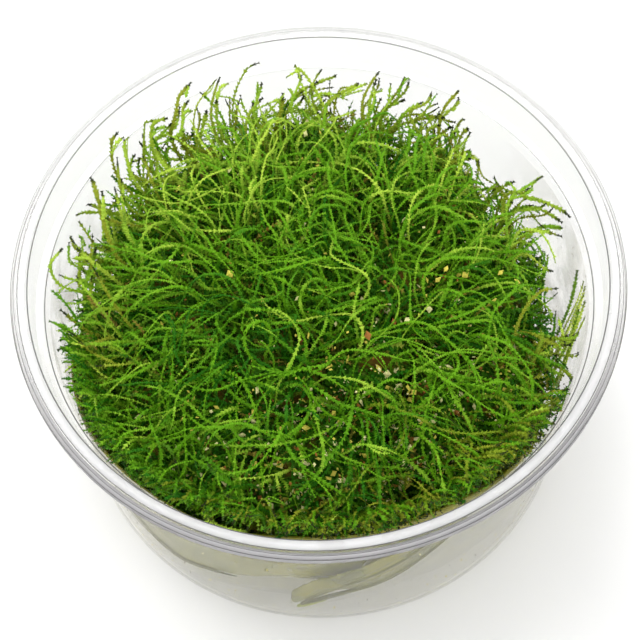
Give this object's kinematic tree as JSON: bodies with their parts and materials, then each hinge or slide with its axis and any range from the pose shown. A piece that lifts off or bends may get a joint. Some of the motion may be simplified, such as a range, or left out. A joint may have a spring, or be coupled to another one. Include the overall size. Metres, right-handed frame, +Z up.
{
  "type": "moss clump in a clear round tub",
  "caption": "Tangled clump of fresh green moss on its cake of culture gel, held in an open, clear plastic tub with a rolled rim.",
  "frame": {"origin": "centre of the tub's flat underside, on the surface that it stands on", "axes": "+Z up through the tub's mouth; -Y towards the front, where the gel's torn edge and its flap show through the wall; +X to the right"},
  "size_m": [0.1, 0.1, 0.0475],
  "materials": {
    "clear_plastic": "clear, glossy, faintly smeared inside",
    "culture_gel": "wet, cloudy olive gel that light passes through",
    "old_moss": "matt, brown and olive tangle of old shoots with cream flecks",
    "moss": "soft satin, fresh mid green leaves, lighter on the young strands and dark at the tips",
    "young_moss": "soft satin, yellow-green young leaves"
  },
  "bodies": {
    "root": {"tub": "clear_plastic", "gel": "culture_gel", "gel_flap": "culture_gel", "moss_mat": "old_moss", "tuft_centre": "moss", "tuft_inner_1": "moss", "tuft_inner_2": "moss", "tuft_inner_3": "moss", "tuft_inner_4": "moss", "tuft_inner_5": "moss", "tuft_front": "moss", "tuft_front_right": "moss", "tuft_right": "moss", "tuft_back_right": "moss", "tuft_back": "moss", "tuft_back_left": "moss", "tuft_left": "moss", "tuft_front_left": "moss", "tuft_wall": "young_moss"}
  },
  "joints": []
}
